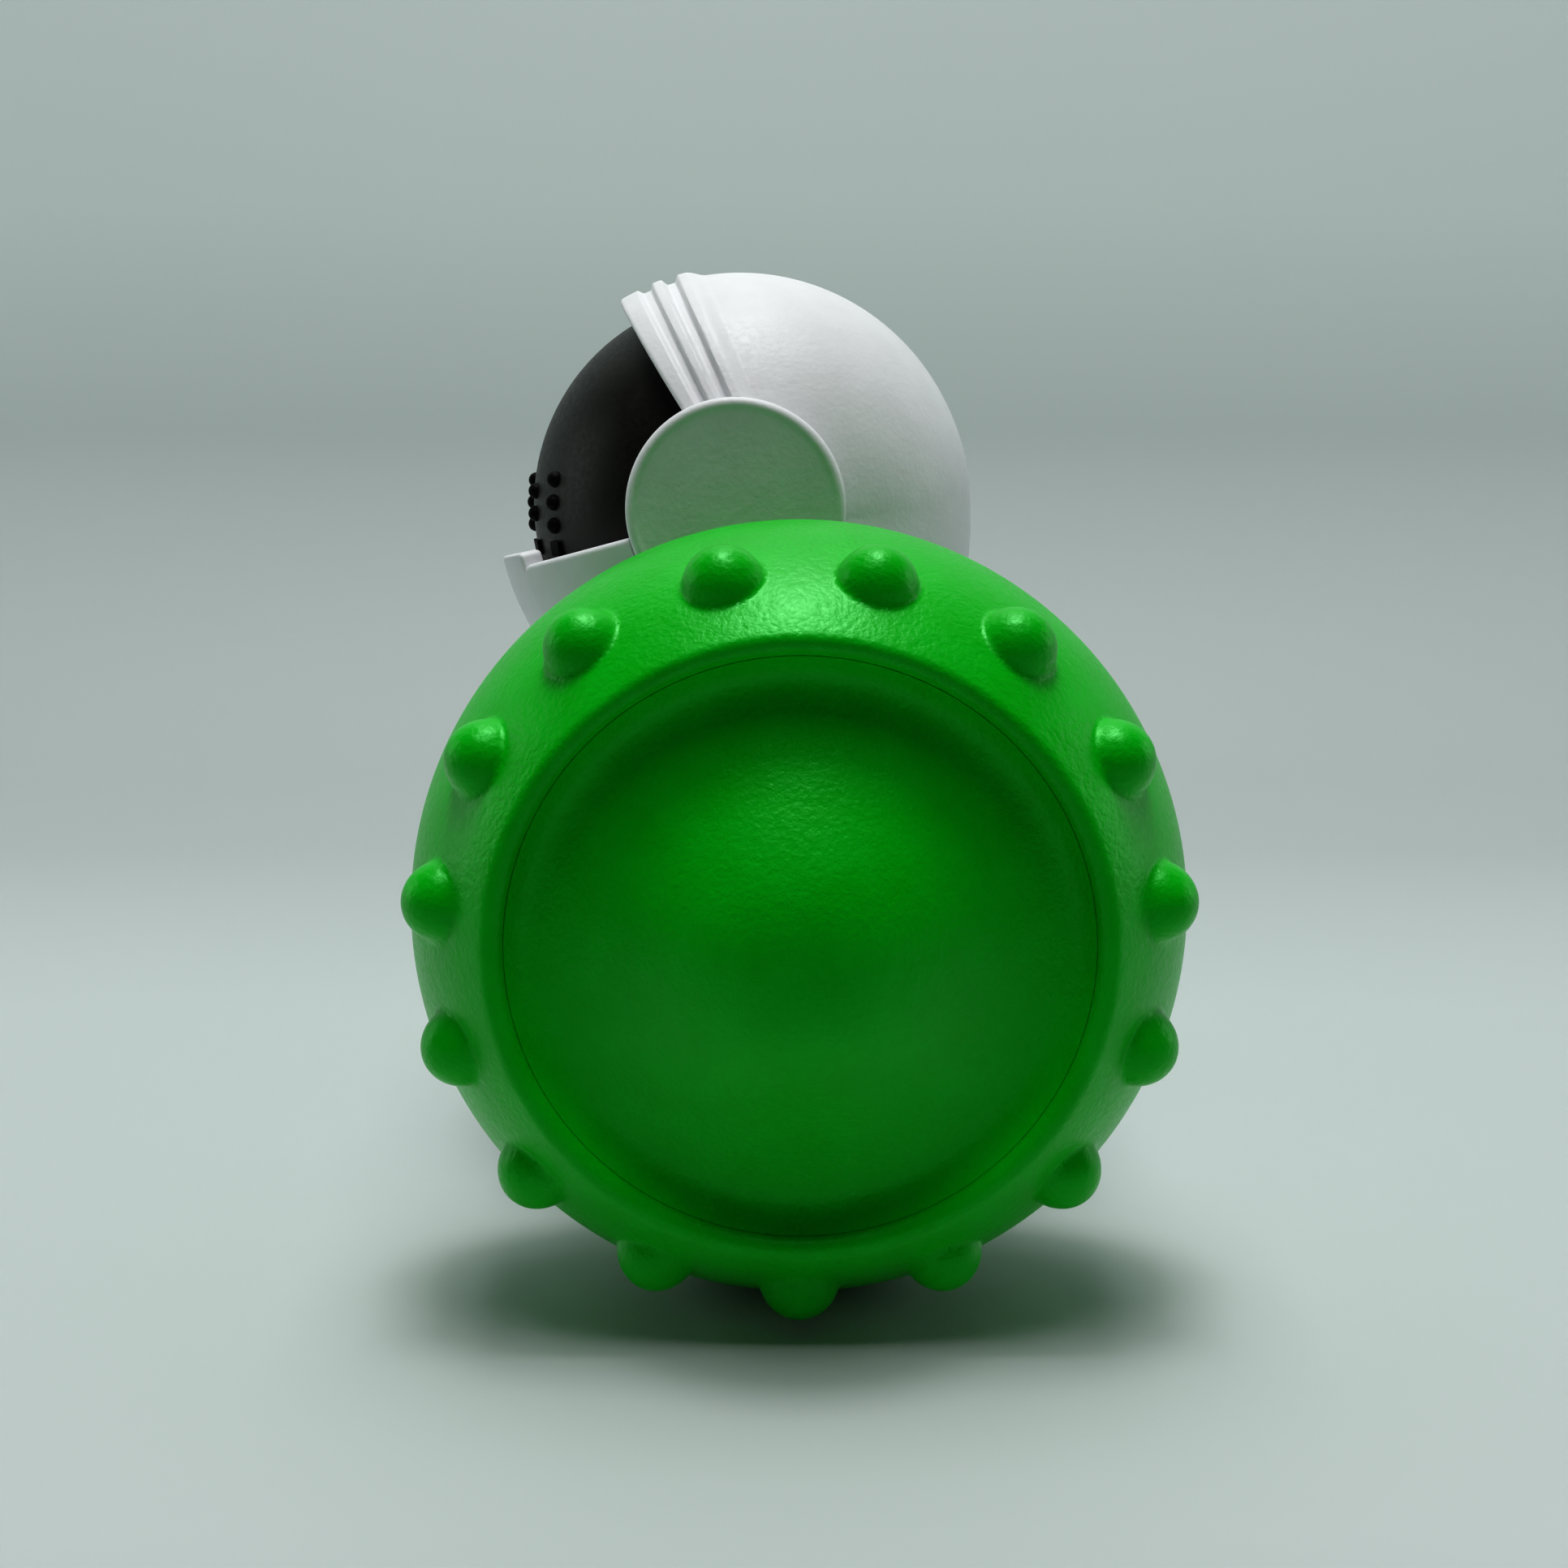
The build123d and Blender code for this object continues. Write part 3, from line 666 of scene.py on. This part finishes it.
MATERIALS = {
    "wheel_green": moulded_plastic(
        "wheel_green", (0.0, 0.46, 0.004), (0.001, 0.50, 0.010), 0.34, 3600, 0.040 * MM,
        tint=(0.18, 1.0, 0.28), gloss=0.5,
    ),
    "helmet_white": moulded_plastic(
        "helmet_white", (0.72, 0.73, 0.745), (0.76, 0.77, 0.785), 0.5, 3200, 0.022 * MM
    ),
    "pod_white": moulded_plastic("pod_white", (0.68, 0.69, 0.70), (0.72, 0.73, 0.74), 0.5, 3200, 0.022 * MM),
    "face_black": moulded_plastic(
        "face_black", (0.004, 0.004, 0.0025), (0.007, 0.007, 0.004), 0.42, 3600, 0.006 * MM, gloss=0.22
    ),
    "knob_black": moulded_plastic(
        "knob_black", (0.002, 0.002, 0.002), (0.004, 0.004, 0.004), 0.55, 9000, 0.001 * MM, gloss=0.06
    ),
    "nylon": moulded_plastic("nylon", (0.60, 0.58, 0.50), (0.66, 0.64, 0.56), 0.45, 5000, 0.006 * MM),
    "pin_steel": metal("pin_steel", (0.56, 0.57, 0.58), 0.28, 3000),
    "screw_steel": metal("screw_steel", (0.52, 0.52, 0.50), 0.32, 3000),
    "spring_steel": metal("spring_steel", (0.20, 0.20, 0.22), 0.4, 3000),
    "ballast_steel": metal("ballast_steel", (0.34, 0.34, 0.35), 0.5, 1500),
}


def dress_cad_nodes():
    slots = {item["node"]: item["material_slot"] for item in frame["record"]["subparts"]}
    for name, node in frame["nodes"].items():
        node.data.materials.clear()
        node.data.materials.append(MATERIALS[slots[name]])


# ---------------------------------------------------------------- stage, light and camera
# Painted light and shade on the stage: each entry scales the stage's colour from 1 at its start to its last value
# at its end, along one axis. The first paints shade on the floor towards the camera, the second paints shade on
# the floor towards the backdrop, the third paints light up the backdrop.
STAGE_PAINTED_LIGHT_AND_SHADE = (("Y", -0.05, -0.16, 0.35), ("Y", 0.03, 0.10, 0.84), ("Z", 0.005, 0.08, 1.6))

# Places of the camera in wheel radii: left of the axle, away from the near wheel's joint, above the axle.
CAMERA_LEFT, CAMERA_AWAY, CAMERA_ABOVE = 0.038, 4.98, 1.074
CAMERA_DOWN = 0.150  # how far it looks down, in radians
CAMERA_LENS = 44.7


def scaled(tree, colour, factor):
    node = tree.nodes.new("ShaderNodeVectorMath")
    node.operation = "SCALE"
    tree.links.new(colour, node.inputs[0])
    tree.links.new(factor, node.inputs["Scale"])
    return node.outputs["Vector"]


def build_stage():
    """Pale floor that sweeps up into a pale backdrop, with painted shade on the floor towards the camera and
    towards the backdrop, and painted light up the backdrop.
    """
    front, back, width, rise, bend = -0.6, 0.150, 1.6, 0.9, 0.05
    profile = [(front, 0.0), (back - bend, 0.0)]
    profile += arc_points((back - bend, bend), bend, -pi / 2, 0, 32)[1:]
    profile += [(back, rise)]
    vertices = [(x, y, z) for y, z in profile for x in (-width / 2, width / 2)]
    faces = [(2 * i, 2 * i + 1, 2 * i + 3, 2 * i + 2) for i in range(len(profile) - 1)]
    floor = new_object("floor", vertices, faces, 60)
    material, tree, shader = node_material("pale_floor")
    mottle = noise(tree, 6.0, 3.0)
    colour = mixed_colour(tree, mottle, (0.475, 0.53, 0.525), (0.505, 0.56, 0.55))
    place_at = tree.nodes.new("ShaderNodeSeparateXYZ")
    tree.links.new(object_place(tree), place_at.inputs["Vector"])
    # Painted light and shade: the stage's colour is darkened or lightened along Y and Z to stand in for how the
    # light falls.
    for axis, start, end, last in STAGE_PAINTED_LIGHT_AND_SHADE:
        colour = scaled(tree, colour, ramp(tree, place_at.outputs[axis], start, end, 1.0, last))
    tree.links.new(colour, shader.inputs["Base Color"])
    shader.inputs["Roughness"].default_value = 0.7
    floor.data.materials.append(material)


def area_light(name, position, target, size, power, colour=(1, 1, 1)):
    data = bpy.data.lights.new(name, "AREA")
    data.shape = "RECTANGLE"
    data.size, data.size_y = size
    data.energy = power
    data.color = colour
    light = bpy.data.objects.new(name, data)
    light.location = position
    light.rotation_euler = (Vector(target) - Vector(position)).to_track_quat("-Z", "Y").to_euler()
    bpy.context.scene.collection.objects.link(light)


def build_light():
    """A soft overhead light, a smaller one in it for the sheen on top, and faint lights from the sides."""
    world = bpy.data.worlds.new("studio")
    bpy.context.scene.world = world
    world.use_nodes = True
    background = world.node_tree.nodes["Background"]
    background.inputs["Color"].default_value = (0.75, 0.83, 0.79, 1)
    background.inputs["Strength"].default_value = 0.03
    centre = (0, 0, AXLE_Z)
    area_light("key", (0.0, -0.035, 0.50), centre, (0.26, 0.34), 1.42)
    area_light("glint", (0.0, -0.02, 0.48), centre, (0.09, 0.09), 0.50)
    area_light("side_left", (-0.30, 0.04, 0.10), centre, (0.12, 0.18), 0.09, (0.9, 1.0, 0.95))
    area_light("side_right", (0.30, 0.04, 0.10), centre, (0.12, 0.18), 0.09, (0.9, 1.0, 0.95))


def build_camera():
    """The near wheel seen square on from a little above, close up."""
    data = bpy.data.cameras.new("camera")
    data.sensor_width = 36.0
    data.lens = CAMERA_LENS
    data.clip_start = 0.005
    camera = bpy.data.objects.new("camera", data)
    distance = CAMERA_AWAY * WHEEL_R + WHEEL_Y
    camera.location = (-CAMERA_LEFT * WHEEL_R, -distance, AXLE_Z + CAMERA_ABOVE * WHEEL_R)
    camera.rotation_euler = (pi / 2 - CAMERA_DOWN, 0, 0)
    bpy.context.scene.collection.objects.link(camera)
    bpy.context.scene.camera = camera


build_wheels()
build_helmet()
build_strap()
build_ear_caps()
dress_cad_nodes()
build_stage()
build_light()
build_camera()
bpy.context.scene.view_settings.view_transform = "Standard"
bpy.context.scene.view_settings.look = "Medium High Contrast"
